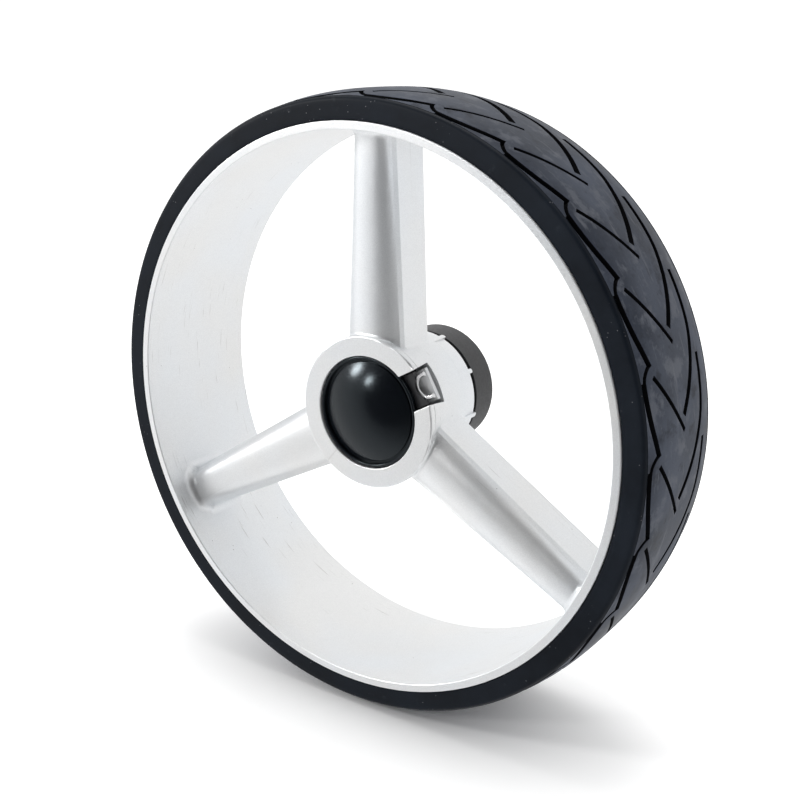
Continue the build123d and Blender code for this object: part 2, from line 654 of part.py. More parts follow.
def sleeve_circlip():
    """Outside circlip in the sleeve's groove."""
    body = open_ring(CIRCLIP_GROOVE, CIRCLIP_RADIUS, CIRCLIP, CIRCLIP_EAR)
    return body - ring(0, CIRCLIP_GROOVE, CIRCLIP[0], CIRCLIP[1])


def thrust_washer():
    """Washer between the circlip and the front bearing."""
    return ring(SLEEVE_RADIUS, WASHER_RADIUS, CIRCLIP[1], FRONT_BEARING)


def retaining_ring():
    """Inside ring that holds the rear bearing in the drive collar."""
    return open_ring(RETAINER_INNER, RETAINER_GROOVE, RETAINER, RETAINER_EAR)


def shaft_seal():
    """Rubber seal behind the rear bearing, with a lip close to the sleeve's shoulder."""
    front, back = SEAL
    return turned([
        (SEAL_LIP, front), (BEARING_OUTER, front), (BEARING_OUTER, back), (SEAL_BACK + 2, back),
        (SEAL_BACK + 2, front + 1.6), (SEAL_BACK, back - 0.4), (SEAL_LIP, back - 0.4),
    ])


# --- Drive collar -------------------------------------------------------------------------
def drive_collar():
    """Collar at the back of the hub: it carries the rear bearing and takes the axle's cross pin."""
    rear = REAR_BEARING
    body = turned([
        (COLLAR_BORE, SPIGOT_FRONT), (COLLAR_SPIGOT, SPIGOT_FRONT), (COLLAR_SPIGOT, TAIL_END),
        (NECK_RADIUS, TAIL_END), (NECK_RADIUS, POCKET_END), (POCKET_RADIUS, POCKET_END),
        (POCKET_RADIUS, COLLAR_FRONT), (COLLAR_RADIUS, COLLAR_FRONT), (COLLAR_RADIUS, COLLAR_BACK),
        (BEARING_OUTER, COLLAR_BACK), (BEARING_OUTER, rear), (COLLAR_BORE, rear),
    ])
    rims = body.edges().filter_by(GeomType.CIRCLE).filter_by(
        lambda e: abs(e.radius - COLLAR_RADIUS) < 0.01 and e.center().Y > at(COLLAR_BACK) - 0.01
    )
    body = fillet(rims, COLLAR_EDGE)
    slot = block(BEARING_OUTER - 2, SLOT_OUTER, SLOT_HALF, COLLAR_BACK - SLOT_DEPTH, COLLAR_BACK + 1)
    cuts = [swung(slot, a) for a in spread(DRIVE_SLOTS, SLOT_FIRST_DEG)]
    hole = rod(SCREW_RADIUS + 0.1, SCREW_CIRCLE, 0, SPIGOT_FRONT, SCREW_SEAT)
    room = rod(SCREW_HEAD + 0.3, SCREW_CIRCLE, 0, SCREW_SEAT, COLLAR_BACK)
    cuts += [swung(shape, a) for a in spread(3, SCREW_FIRST_DEG) for shape in (hole, room)]
    cuts.append(ring(BEARING_OUTER - 1, RETAINER_GROOVE, RETAINER[0], RETAINER[1]))
    return body - merged(cuts)


def collar_screws():
    """Socket-head screws that hold the drive collar to the hub."""
    top = SCREW_SEAT + SCREW_HEAD_THICK
    shank = rod(SCREW_RADIUS, SCREW_CIRCLE, 0, SCREW_END, SCREW_SEAT + 1)
    head = rod(SCREW_HEAD, SCREW_CIRCLE, 0, SCREW_SEAT, top)
    hexagon = extrude(RegularPolygon(SCREW_SOCKET, 6), amount=2)
    socket = Pos(SCREW_CIRCLE, at(top), 0) * (Rot(90, 0, 0) * hexagon)
    screw = head + shank - socket
    return Compound([swung(screw, a).solid() for a in spread(3, SCREW_FIRST_DEG)])


def nodes():
    """Every separate piece of the wheel, by name."""
    pieces = {
        "tyre": tyre(), "wheel_moulding": wheel_moulding(), "hub_cap": hub_cap(),
        "latch_carrier": latch_carrier(), "carrier_screws": carrier_screws(),
        "catch_slider": catch_slider(), "latch_plate": latch_plate(), "latch_rivets": latch_rivets(),
        "thumb_loop": thumb_loop(), "catch_springs": catch_springs(),
        "axle_sleeve": axle_sleeve(), "inner_spacer": inner_spacer(),
        "sleeve_circlip": sleeve_circlip(), "thrust_washer": thrust_washer(),
        "drive_collar": drive_collar(), "collar_screws": collar_screws(),
        "bearing_retaining_ring": retaining_ring(), "shaft_seal": shaft_seal(),
    }
    for place, front in (("front", FRONT_BEARING), ("rear", REAR_BEARING)):
        pieces[place + "_outer_race"] = outer_race(front)
        pieces[place + "_inner_race"] = inner_race(front)
        pieces[place + "_balls"] = balls(front)
        pieces[place + "_cage"] = cage(front)
        pieces[place + "_shields"] = shields(front)
    return pieces


os.makedirs("parts", exist_ok=True)
for name, shape in nodes().items():
    export_step(shape, f"parts/{name}.step")
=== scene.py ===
from math import cos, inf, pi, radians, sin

import bmesh
import bpy
from mathutils import Matrix, Vector
from mathutils.geometry import delaunay_2d_cdt


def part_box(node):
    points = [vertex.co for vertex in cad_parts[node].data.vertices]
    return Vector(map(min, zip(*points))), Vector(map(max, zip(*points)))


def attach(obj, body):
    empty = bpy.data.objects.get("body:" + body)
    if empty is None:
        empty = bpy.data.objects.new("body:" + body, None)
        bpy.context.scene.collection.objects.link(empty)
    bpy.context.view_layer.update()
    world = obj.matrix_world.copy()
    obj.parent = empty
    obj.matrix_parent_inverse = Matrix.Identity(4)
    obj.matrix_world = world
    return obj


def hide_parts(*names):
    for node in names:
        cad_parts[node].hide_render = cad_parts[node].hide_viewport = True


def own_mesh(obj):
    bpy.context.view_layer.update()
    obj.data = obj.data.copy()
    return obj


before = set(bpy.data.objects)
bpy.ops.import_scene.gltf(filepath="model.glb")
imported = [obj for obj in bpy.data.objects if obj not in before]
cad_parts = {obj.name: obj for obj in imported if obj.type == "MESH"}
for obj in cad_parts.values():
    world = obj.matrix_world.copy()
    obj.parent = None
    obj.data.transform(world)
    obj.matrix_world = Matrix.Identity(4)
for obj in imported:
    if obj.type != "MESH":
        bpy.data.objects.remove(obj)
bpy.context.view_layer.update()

MM = 0.001
RIM_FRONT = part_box("wheel_moulding")[0].y      # the rim's front face: depths count from it
RIM_RADIUS = 131.9 * MM                        # seat of the tyre


def at(depth):
    """Y of a depth in millimetres behind the rim's front face."""
    return RIM_FRONT + depth * MM


# --- Camera, floor and lights -------------------------------------------------------------------
VIEW_AZIMUTH = radians(34.20)
VIEW_ELEVATION = radians(16.46)
VIEW_ROLL = radians(0.10)
VIEW_TURN = radians(0.75)          # the wheel has rolled on by this much
VIEW_DISTANCE = 4.0137 * RIM_RADIUS
VIEW_SHIFT = (0.1718 * RIM_RADIUS, 0.0673 * RIM_RADIUS)
VIEW_LENS = 52.65                  # millimetres, for Blender's 36 mm sensor
CLIP_START = 0.01


def add_camera():
    """Camera at the angle of the photograph, aimed by its own axes."""
    a, e = VIEW_AZIMUTH, VIEW_ELEVATION
    back = Vector((sin(a) * cos(e), -cos(a) * cos(e), sin(e)))
    right = Vector((cos(a), sin(a), 0))
    up = back.cross(right)
    across = right * cos(VIEW_ROLL) + up * sin(VIEW_ROLL)
    above = up * cos(VIEW_ROLL) - right * sin(VIEW_ROLL)
    place = across * VIEW_SHIFT[0] + above * VIEW_SHIFT[1] + back * VIEW_DISTANCE
    place.y += RIM_FRONT
    axes = Matrix((across, above, back)).transposed().to_4x4()
    data = bpy.data.cameras.new("camera")
    data.lens = VIEW_LENS
    data.clip_start = CLIP_START
    camera = bpy.data.objects.new("camera", data)
    turn = Matrix.Rotation(-VIEW_TURN, 4, "Y")
    camera.matrix_world = turn @ Matrix.Translation(place) @ axes
    bpy.context.scene.collection.objects.link(camera)
    bpy.context.scene.camera = camera


FLOOR_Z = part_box("tyre")[0].z
FLOOR_RADIUS = 12.0
FLOOR_SIDES = 96
FLOOR_GLOW = 0.42                  # lifts the floor to the backdrop's white
PAINTED_SHADOW_STRETCH = (9.0, 11.0, 0.0)    # shape of the painted shadow where the wheel stands, a patch without glow
PAINTED_SHADOW_EDGE = (0.3, 1.5)             # stretched distances between which the glow comes back, the soft edge of the painted shadow


def add_floor():
    """Pale floor, so large that it has no visible edge. It doesn't show in reflections."""
    mesh = bmesh.new()
    angles = [2 * pi * j / FLOOR_SIDES for j in range(FLOOR_SIDES)]
    corners = [(FLOOR_RADIUS * cos(a), FLOOR_RADIUS * sin(a), FLOOR_Z) for a in angles]
    mesh.faces.new([mesh.verts.new(corner) for corner in corners])
    floor = mesh_object("floor", mesh)
    floor.visible_glossy = False
    floor.data.materials.append(floor_finish())


def mesh_object(name, mesh):
    """Turns a bmesh into an object in the scene."""
    mesh.normal_update()
    data = bpy.data.meshes.new(name)
    mesh.to_mesh(data)
    mesh.free()
    obj = bpy.data.objects.new(name, data)
    bpy.context.scene.collection.objects.link(obj)
    return obj


# Soft boxes: name, place and size in metres, power in watts, turn about the aim in degrees.
SOFT_BOXES = (
    ("left box", (-1.306, -1.021, 0.620), (0.27, 0.46), 9.8, -35),
    ("front box", (-0.816, -1.455, 0.529), (0.17, 0.30), 4.3, -30),
    ("top box", (-0.2, 0.3, 1.9), (1.3, 1.3), 13.0, 0),
)
SURROUND_BRIGHT = 0.92
BACKDROP = 1.10                    # what the camera sees behind the wheel

# The studio's dark areas: azimuth from -Y towards +X and height in degrees, how much of the
# light is gone, and the cosines between which it fades.
DARK_AREAS = (
    (20, 12, 0.97, 0.25, 0.97),
    (78, 4, 0.34, 0.70, 0.97),
    (-3, 1, 0.85, 0.87, 0.91),
)


def add_area(name, place, size, power, tilt):
    """Oval soft box at a place, facing the wheel's centre."""
    data = bpy.data.lights.new(name, "AREA")
    data.shape = "ELLIPSE"
    data.size, data.size_y = size
    data.energy = power
    light = bpy.data.objects.new(name, data)
    aim = (-Vector(place)).to_track_quat("-Z", "Y").to_matrix().to_4x4()
    light.matrix_world = Matrix.Translation(place) @ aim @ Matrix.Rotation(radians(tilt), 4, "Z")
    bpy.context.scene.collection.objects.link(light)


def add_lights():
    """Two soft boxes in front on the left, one above, and a pale studio round them."""
    for box in SOFT_BOXES:
        add_area(*box)
    add_surround()
    bpy.context.scene.view_settings.view_transform = "Standard"


def dark_area(nodes, links, way, azimuth, height, loss, low, high):
    """Share of the light that is left in each direction round one dark area."""
    level = cos(radians(height))
    middle = (sin(radians(azimuth)) * level, -cos(radians(azimuth)) * level, sin(radians(height)))
    facing = nodes.new("ShaderNodeVectorMath")
    facing.operation = "DOT_PRODUCT"
    facing.inputs[1].default_value = middle
    links.new(way, facing.inputs[0])
    fade = nodes.new("ShaderNodeMapRange")
    fade.interpolation_type = "SMOOTHSTEP"
    fade.inputs["From Min"].default_value = low
    fade.inputs["From Max"].default_value = high
    fade.inputs["To Min"].default_value = 1.0
    fade.inputs["To Max"].default_value = 1.0 - loss
    links.new(facing.outputs["Value"], fade.inputs["Value"])
    return fade.outputs["Result"]


def add_surround():
    """Studio that is pale behind and beside the wheel and dark in front of it."""
    world = bpy.data.worlds.new("studio")
    bpy.context.scene.world = world
    world.use_nodes = True
    nodes, links = world.node_tree.nodes, world.node_tree.links
    surround = nodes["Background"]
    way = nodes.new("ShaderNodeTexCoord").outputs["Generated"]
    light = None
    for area in DARK_AREAS:
        product = nodes.new("ShaderNodeMath")
        product.operation = "MULTIPLY"
        product.inputs[0].default_value = SURROUND_BRIGHT
        if light:
            links.new(light, product.inputs[0])
        links.new(dark_area(nodes, links, way, *area), product.inputs[1])
        light = product.outputs["Value"]
    seen = nodes.new("ShaderNodeMix")
    links.new(nodes.new("ShaderNodeLightPath").outputs["Is Camera Ray"], seen.inputs["Factor"])
    links.new(light, seen.inputs["A"])
    seen.inputs["B"].default_value = BACKDROP
    links.new(seen.outputs["Result"], surround.inputs["Strength"])
    surround.inputs["Color"].default_value = (1.0, 1.0, 1.0, 1.0)


# --- Material kit -------------------------------------------------------------------------------
MIX_LOW, MIX_HIGH, MIX_RESULT = 6, 7, 2    # the colour sockets of a Mix node


class Finish:
    """A material whose shader sockets are set by name and whose textures are nodes."""

    def __init__(self, name, **sockets):
        self.material = bpy.data.materials.new(name)
        self.material.use_nodes = True
        self.tree = self.material.node_tree
        self.shader = self.tree.nodes["Principled BSDF"]
        self.place = self.node("ShaderNodeTexCoord").outputs["Object"]
        for socket, value in sockets.items():
            self.shader.inputs[socket.replace("_", " ")].default_value = value

    def node(self, kind, **settings):
        node = self.tree.nodes.new(kind)
        for key, value in settings.items():
            setattr(node, key, value)
        return node

    def link(self, source, target):
        self.tree.links.new(source, target)

    def noise(self, scale, detail=4.0, roughness=0.55, source=None):
        """Noise with a scale in cells per metre."""
        node = self.node("ShaderNodeTexNoise")
        node.inputs["Scale"].default_value = scale
        node.inputs["Detail"].default_value = detail
        node.inputs["Roughness"].default_value = roughness
        self.link(source or self.place, node.inputs["Vector"])
        return node.outputs["Fac"]

    def cells(self, scale, output="Distance"):
        """Voronoi cells per metre."""
        node = self.node("ShaderNodeTexVoronoi")
        node.inputs["Scale"].default_value = scale
        self.link(self.place, node.inputs["Vector"])
        return node.outputs[output]

    def stretched(self, scale):
        """Object coordinates scaled by three factors, for streaks."""
        node = self.node("ShaderNodeMapping")
        node.inputs["Scale"].default_value = scale
        self.link(self.place, node.inputs["Vector"])
        return node.outputs["Vector"]

    def round_axle(self, turn_scale, depth_scale):
        """Turn round the axle and depth, each scaled, for scuffs that run round the axle."""
        parts = self.node("ShaderNodeSeparateXYZ")
        self.link(self.place, parts.inputs["Vector"])
        x, y, z = parts.outputs
        turn = self.math("ARCTAN2", z, x)
        joined = self.node("ShaderNodeCombineXYZ")
        self.link(self.math("MULTIPLY", turn, turn_scale), joined.inputs["X"])
        self.link(self.math("MULTIPLY", y, depth_scale), joined.inputs["Y"])
        return joined.outputs["Vector"]

    def ramp(self, source, low, high, start=0.0, stop=1.0):
        """Maps a source from low..high to start..stop, held at both ends."""
        node = self.node("ShaderNodeMapRange")
        node.inputs["From Min"].default_value = low
        node.inputs["From Max"].default_value = high
        node.inputs["To Min"].default_value = start
        node.inputs["To Max"].default_value = stop
        self.link(source, node.inputs["Value"])
        return node.outputs["Result"]

    def math(self, operation, a, b):
        """Two inputs, each a socket or a number, through one operation."""
        node = self.node("ShaderNodeMath", operation=operation)
        for socket, value in zip(node.inputs, (a, b)):
            if isinstance(value, (int, float)):
                socket.default_value = value
            else:
                self.link(value, socket)
        return node.outputs["Value"]

    def mix(self, share, low, high):
        """Colour between two colours, each a socket or three numbers."""
        node = self.node("ShaderNodeMix", data_type="RGBA")
        self.link(share, node.inputs["Factor"])
        for socket, value in ((node.inputs[MIX_LOW], low), (node.inputs[MIX_HIGH], high)):
            if isinstance(value, tuple):
                socket.default_value = (*value, 1.0)
            else:
                self.link(value, socket)
        return node.outputs[MIX_RESULT]

    def colour(self, source):
        self.link(source, self.shader.inputs["Base Color"])

    def rough(self, source):
        self.link(source, self.shader.inputs["Roughness"])

    def bump(self, source, height, strength=1.0):
        """Surface relief of a height in metres, on top of any bump that is there."""
        node = self.node("ShaderNodeBump")
        node.inputs["Distance"].default_value = height
        node.inputs["Strength"].default_value = strength
        self.link(source, node.inputs["Height"])
        old = self.shader.inputs["Normal"]
        if old.is_linked:
            self.link(old.links[0].from_socket, node.inputs["Normal"])
        self.link(node.outputs["Normal"], old)


STEEL = (0.62, 0.63, 0.65)
BRIGHT_STEEL = (0.80, 0.80, 0.81)


def floor_finish():
    """Matt white sweep with a trace of unevenness. Its glow fades where the wheel stands: a painted shadow.
    """
    f = Finish("pale floor", Roughness=0.9, Emission_Color=(1, 1, 1, 1))
    length = f.node("ShaderNodeVectorMath", operation="LENGTH")
    f.link(f.stretched(PAINTED_SHADOW_STRETCH), length.inputs[0])
    # the glow fades to nothing under the wheel: a painted contact shadow
    glow = f.ramp(length.outputs["Value"], *PAINTED_SHADOW_EDGE, 0.0, FLOOR_GLOW)
    f.link(glow, f.shader.inputs["Emission Strength"])
    f.colour(f.mix(f.noise(3.0), (0.93, 0.93, 0.93), (0.97, 0.97, 0.97)))
    return f.material


def silver_finish():
    """Silver paint: metal flakes, dust specks, faint scuffs that run round the axle."""
    f = Finish("silver paint", Metallic=0.70, Coat_Weight=0.2, Coat_Roughness=0.25)
    broad = f.noise(28.0, 3.0)
    flake = f.cells(4200.0, "Color")
    flake_share = f.ramp(flake, 0.2, 0.9)
    cool = f.mix(flake_share, (0.82, 0.84, 0.865), (0.915, 0.94, 0.96))
    warm = f.mix(flake_share, (0.83, 0.832, 0.83), (0.93, 0.93, 0.925))
    tone = f.mix(f.ramp(f.noise(14.0, 2.0), 0.38, 0.62), cool, warm)
    scuff = f.ramp(f.noise(1.0, 3.0, 0.5, f.round_axle(6.0, 900.0)), 0.64, 0.72, 0.0, 0.6)
    worn = f.ramp(f.noise(19.0, 1.0), 0.50, 0.60)
    scuff_tone = (0.42, 0.41, 0.39)
    tone = f.mix(f.math("MULTIPLY", scuff, worn), tone, scuff_tone)
    speck = f.ramp(f.cells(190.0), 0.035, 0.05, 1.0, 0.0)
    picked = f.ramp(f.noise(37.0, 0.0), 0.60, 0.62)
    speck_tone = (0.25, 0.24, 0.23)
    f.colour(f.mix(f.math("MULTIPLY", speck, picked), tone, speck_tone))
    f.rough(f.ramp(broad, 0.3, 0.7, 0.30, 0.38))
    f.bump(flake_share, 0.00002, 0.5)
    f.bump(f.noise(700.0, 4.0, 0.6), 0.00007, 0.7)
    return f.material


def tread_finish():
    """Tread rubber: worn grey-blue, with pale smears, darker stains and a little dust."""
    f = Finish("tread rubber", Specular_IOR_Level=0.12)
    broad = f.noise(24.0, 7.0, 0.62)
    patch = f.noise(85.0, 6.0, 0.62)
    fine = f.noise(420.0, 5.0, 0.7)
    scuff = f.noise(1.0, 6.0, 0.7, f.stretched((45.0, 220.0, 45.0)))
    base, pale_base = (0.017, 0.023, 0.038), (0.060, 0.071, 0.098)
    smear, stain = (0.098, 0.107, 0.130), (0.008, 0.011, 0.020)
    scuff_tone, dust = (0.120, 0.128, 0.150), (0.13, 0.13, 0.14)
    worn = f.mix(f.ramp(broad, 0.38, 0.64), base, pale_base)
    worn = f.mix(f.ramp(patch, 0.54, 0.64, 0.0, 0.7), worn, smear)
    worn = f.mix(f.ramp(patch, 0.34, 0.44, 0.7, 0.0), worn, stain)
    worn = f.mix(f.ramp(scuff, 0.57, 0.70, 0.0, 0.65), worn, scuff_tone)
    f.colour(f.mix(f.ramp(fine, 0.62, 0.80, 0.0, 0.4), worn, dust))
    f.rough(f.ramp(broad, 0.3, 0.7, 0.34, 0.56))
    f.bump(fine, 0.00008, 0.5)
    f.bump(patch, 0.00030, 0.25)
    return f.material


def groove_shade_finish():
    """Painted shade down in the grooves: near-black rubber, darker also as unworn rubber."""
    f = Finish("groove rubber painted shade", Specular_IOR_Level=0.06)
    # near-black colour: painted shade in the grooves
    f.colour(f.mix(f.noise(90.0), (0.0015, 0.0018, 0.0025), (0.004, 0.0045, 0.006)))
    f.rough(f.ramp(f.noise(300.0), 0.3, 0.7, 0.70, 0.85))
    f.bump(f.noise(900.0), 0.00005, 0.5)
    return f.material


def wall_finish():
    """Side of the tyre: smooth navy-black rubber with specks of dust and faint scuffs."""
    f = Finish("wall rubber", Specular_IOR_Level=0.15)
    smear = f.noise(34.0, 5.0, 0.6)
    navy, pale_navy = (0.0018, 0.0040, 0.0082), (0.0064, 0.0104, 0.0176)
    scuff_tone, dust = (0.040, 0.046, 0.056), (0.13, 0.13, 0.14)
    black = f.mix(f.ramp(smear, 0.35, 0.7), navy, pale_navy)
    scuff = f.noise(1.0, 6.0, 0.7, f.stretched((150.0, 60.0, 150.0)))
    black = f.mix(f.ramp(scuff, 0.62, 0.76, 0.0, 0.35), black, scuff_tone)
    speck = f.ramp(f.cells(420.0), 0.07, 0.11, 1.0, 0.0)
    picked = f.ramp(f.noise(55.0, 0.0), 0.54, 0.56)
    f.colour(f.mix(f.math("MULTIPLY", speck, picked), black, dust))
    f.rough(f.ramp(smear, 0.3, 0.7, 0.46, 0.60))
    f.bump(f.noise(600.0, 4.0), 0.00005, 0.5)
    return f.material


def black_finish(name, roughness, tone=(0.018, 0.018, 0.020), grain=900.0, height=0.00003, **sockets):
    """Moulded black plastic with a grain."""
    f = Finish(name, **sockets)
    grains = f.noise(grain, 3.0)
    f.colour(f.mix(f.noise(60.0), tone, tuple(1.5 * v for v in tone)))
    f.rough(f.ramp(grains, 0.3, 0.7, roughness - 0.05, roughness + 0.08))
    f.bump(grains, height, 0.5)
    return f.material


def metal_finish(name, tone, roughness, streak=(40.0, 900.0, 40.0), metallic=1.0):
    """Bare or plated metal with fine tool marks across the axle."""
    f = Finish(name, Metallic=metallic)
    marks = f.noise(1.0, 4.0, 0.6, f.stretched(streak))
    f.colour(f.mix(f.noise(90.0, 3.0), tuple(0.8 * v for v in tone), tone))
    f.rough(f.ramp(marks, 0.3, 0.7, roughness - 0.06, roughness + 0.10))
    f.bump(marks, 0.00001, 0.4)
    return f.material


# --- Tyre ---------------------------------------------------------------------------------------
PITCHES = 25
PITCH_DEG = 360 / PITCHES
TREAD_PHASE = 4.0                  # where the first pitch starts, from +X
TYRE_RADIUS = 145.0
CROWN_DROP = 3.0
TREAD_EDGES = (2.6, 67.6)
SIDE_DEPTHS = (0.6, 69.6)
GROOVE_DEPTH = 2.2
GROOVE_SHADE = 0.2                 # deeper than this the rubber gets the near-black finish: painted shade, and unworn rubber
TREAD_SLOT, GROOVE_SHADE_SLOT = 1, 2     # the sidewalls are slot 0
SHARP_EDGE = radians(32)
ARC_MM = TYRE_RADIUS * pi / 180    # millimetres along the crown for a degree
PITCH_MM = PITCH_DEG * ARC_MM
SEAT_GAP = 0.05                    # between the tyre and its seat on the rim

CURVE_STEPS = 24                   # points of a smooth curve between two given points
LINE_STEP = 1.7                    # millimetres between the points of a groove's centre line
ROUND_OFF = 1e-9
TILE_COLUMNS, TILE_ROWS = 16, 24   # grid of one pitch between the grooves
TILE_MARGIN = 2.0                  # outlines this far outside the pitch still shape its edge
GRID_GAP = 1.0                     # the grid's points keep this far from a groove
NARROWEST = 0.02                   # half width of the narrowest outline in a groove
SAME_POINT = 1e-6                  # millimetres
WELD = 4e-6                        # metres between points that become one
SHADING_WEIGHT = 90                # how much large faces lead the shading

SHOULDER_ROUND = 2.0               # radius of the tread's edges
ROUND_TURNS = (0.5, 0.75, 1.0, 1.25, 0.5 * pi)           # radians round that edge
FLASH = ((0.02, 2.35), (0.16, 2.22), (-0.05, 2.08))      # height over the shoulder, depth
SIDE_WALL = ((138.5, 0.6), (134.0, 0.62), (132.6, 0.6))  # radius, depth
SEAT_EDGE = ((0.15, 0.8), (0.0, 1.2))                    # height over the seat, depth

# Centre lines of one pitch's grooves, as half width in millimetres and (degrees, depth) points.
# Degrees are measured from the corner of the zigzag that runs round the front shoulder.
GROOVES = (
    (0.95, ((0.15, 10.1), (-0.1, 9.0), (-0.8, 6.9), (-1.9, 5.0), (-3.6, 4.15))),
    (1.45, ((-2.9, 4.2), (-4.6, 4.15), (-6.8, 4.6), (-9.4, 5.8), (-12.2, 7.9), (-14.2, 9.6))),
    (1.05, ((-2.3, 11.5), (-7.3, 22.05), (-12.3, 32.6))),
    (1.70, ((-2.2, 55.6), (-8.3, 53.9), (-11.7, 52.2), (-14.8, 49.0), (-17.8, 45.3), (-21.3, 39.7),
            (-24.0, 34.4))),
)


def crown(depth):
    """Radius of the tread at a depth."""
    middle = sum(TREAD_EDGES) / 2
    share = abs(depth - middle) / (TREAD_EDGES[1] - middle)
    return TYRE_RADIUS - CROWN_DROP * share ** 3


def smooth_line(points, step):
    """Points at even steps along a smooth curve through the given points."""
    ends = [2 * points[0] - points[1]] + list(points) + [2 * points[-1] - points[-2]]
    fine = []
    for a, b, c, d in zip(ends, ends[1:], ends[2:], ends[3:]):
        for i in range(CURVE_STEPS):
            t = i / CURVE_STEPS
            fine.append(0.5 * (2 * b + (c - a) * t + (2 * a - 5 * b + 4 * c - d) * t ** 2
                               + (3 * b - a - 3 * c + d) * t ** 3))
    fine.append(points[-1])
    length = sum((q - p).length for p, q in zip(fine, fine[1:]))
    count = max(2, round(length / step))
    line, done, target = [fine[0]], 0.0, length / count
    for p, q in zip(fine, fine[1:]):
        span = (q - p).length
        while done + span >= target * len(line) - ROUND_OFF and len(line) < count:
            line.append(p.lerp(q, (target * len(line) - done) / span))
        done += span
    line.append(fine[-1])
    return line


def outline(line, out):
    """Closed outline round a line at a distance, with square ends."""
    ways = [(q - p).normalized() for p, q in zip(line, line[1:])]
    ways = [ways[0]] + [(a + b).normalized() for a, b in zip(ways, ways[1:])] + [ways[-1]]
    left, right = [], []
    for i, (p, way) in enumerate(zip(line, ways)):
        end = -out if i == 0 else out if i == len(line) - 1 else 0.0
        side = Vector((-way.y, way.x)) * out
        left.append(p + way * end + side)
        right.append(p + way * end - side)
    return left + right[::-1]


class Groove:
    """One groove of the tread on the flattened surface, in millimetres."""

    # Section of the edge: distance outside it and drop below the crown.
    PROFILE = ((0.16, 0.0), (0.0, 0.08), (-0.08, 0.30), (-0.30, 0.9 * GROOVE_DEPTH), (-0.45, GROOVE_DEPTH))

    def __init__(self, half, points, shift):
        flat = [Vector((deg * ARC_MM + shift, depth)) for deg, depth in points]
        self.half = half
        self.line = smooth_line(flat, LINE_STEP)

    def rings(self):
        """Outlines at the steps of the groove's section."""
        widths = [self.half + out for out, _ in self.PROFILE]
        return [outline(self.line, width) for width in widths if width > NARROWEST]

    def outside(self, point):
        """Distance outside the groove's edge, negative inside it."""
        last = len(self.line) - 2
        best = inf
        for i, (p, q) in enumerate(zip(self.line, self.line[1:])):
            length = (q - p).length
            way = (q - p) / length
            local = point - p
            along = local.dot(way)
            side = abs(way.x * local.y - way.y * local.x)
            past = max(-along, along - length, 0.0)
            if (i == 0 and along < 0) or (i == last and along > length):
                end, wide = past - self.half, side - self.half
                gap = Vector((end, wide)).length if end > 0 and wide > 0 else max(end, wide)
            else:
                gap = Vector((side, past)).length - self.half
            best = min(best, gap)
        return best

    def drop(self, point):
        """How far the surface lies below the crown at a point."""
        gap = self.outside(point)
        steps = self.PROFILE
        if gap >= steps[0][0]:
            return 0.0
        for (a, low), (b, high) in zip(steps, steps[1:]):
            if gap >= b:
                return low + (high - low) * (a - gap) / (a - b)
        return steps[-1][1]


def tread_grooves():
    """Grooves that cross one pitch, its neighbours' included."""
    return [Groove(half, points, PITCH_MM * k) for half, points in GROOVES for k in (0, 1, 2)]


def tread_tile():
    """Points (across in millimetres, depth, drop) and triangles of one pitch of the tread."""
    grooves = tread_grooves()
    front, back = TREAD_EDGES
    points, edges = [], []

    def chain(line, closed):
        first = len(points)
        points.extend(line)
        edges.extend((i, i + 1) for i in range(first, len(points) - 1))
        if closed:
            edges.append((len(points) - 1, first))

    depths = [front + (back - front) * i / TILE_ROWS for i in range(TILE_ROWS + 1)]
    across = [PITCH_MM * i / TILE_COLUMNS for i in range(TILE_COLUMNS + 1)]
    for x in (0.0, PITCH_MM):
        chain([Vector((x, d)) for d in depths], False)
    for d in (front, back):
        chain([Vector((x, d)) for x in across], False)
    for groove in grooves:
        for ring in groove.rings():
            if any(-TILE_MARGIN < p.x < PITCH_MM + TILE_MARGIN for p in ring):
                chain(ring, True)
    for row, d in enumerate(depths[1:-1]):
        for x in across[1:-1]:
            point = Vector((x + (row % 2 - 0.5) * PITCH_MM / TILE_COLUMNS / 2, d))
            if min(g.outside(point) for g in grooves) > GRID_GAP:
                points.append(point)
    flat, _, triangles, *_ = delaunay_2d_cdt(points, edges, [], 0, SAME_POINT)
    inside = []
    for triangle in triangles:
        centre = sum((flat[i] for i in triangle), Vector((0, 0))) / 3
        if 0 < centre.x < PITCH_MM and front < centre.y < back:
            inside.append(triangle)
    used = sorted({i for triangle in inside for i in triangle})
    number = {old: new for new, old in enumerate(used)}
    corners = [(flat[i].x, flat[i].y, max(g.drop(flat[i]) for g in grooves)) for i in used]
    return corners, [tuple(number[i] for i in triangle) for triangle in inside]


def tyre_point(radius, degrees_round, depth):
    """A point of the tyre in the frame, from millimetres and degrees."""
    a = radians(degrees_round)
    return Vector((radius * cos(a) * MM, at(depth), radius * sin(a) * MM))


def side_profile():
    """Section of the tyre from the front edge of the tread round the seat to the back edge."""
    seat = RIM_RADIUS / MM + SEAT_GAP
    shoulder = crown(TREAD_EDGES[0])
    flash = [(shoulder + height, depth) for height, depth in FLASH]
    corner = [(shoulder - SHOULDER_ROUND * (1 - cos(a)), TREAD_EDGES[0] - SHOULDER_ROUND * sin(a))
              for a in ROUND_TURNS]
    edge = [(seat + height, depth) for height, depth in SEAT_EDGE]
    front = flash + corner + list(SIDE_WALL) + edge
    return front + [(radius, sum(SIDE_DEPTHS) - depth) for radius, depth in reversed(front)]


def add_tread(mesh):
    """Grooved tread: one tile for every pitch."""
    corners, triangles = tread_tile()
    for k in range(PITCHES):
        start = TREAD_PHASE + k * PITCH_DEG
        made = [mesh.verts.new(tyre_point(crown(d) - drop, start + x / ARC_MM, d))
                for x, d, drop in corners]
        for triangle in triangles:
            face = mesh.faces.new([made[i] for i in triangle])
            # faces down in a groove get the near-black finish, painted shade
            low = max(corners[i][2] for i in triangle)
            face.material_index = GROOVE_SHADE_SLOT if low > GROOVE_SHADE else TREAD_SLOT


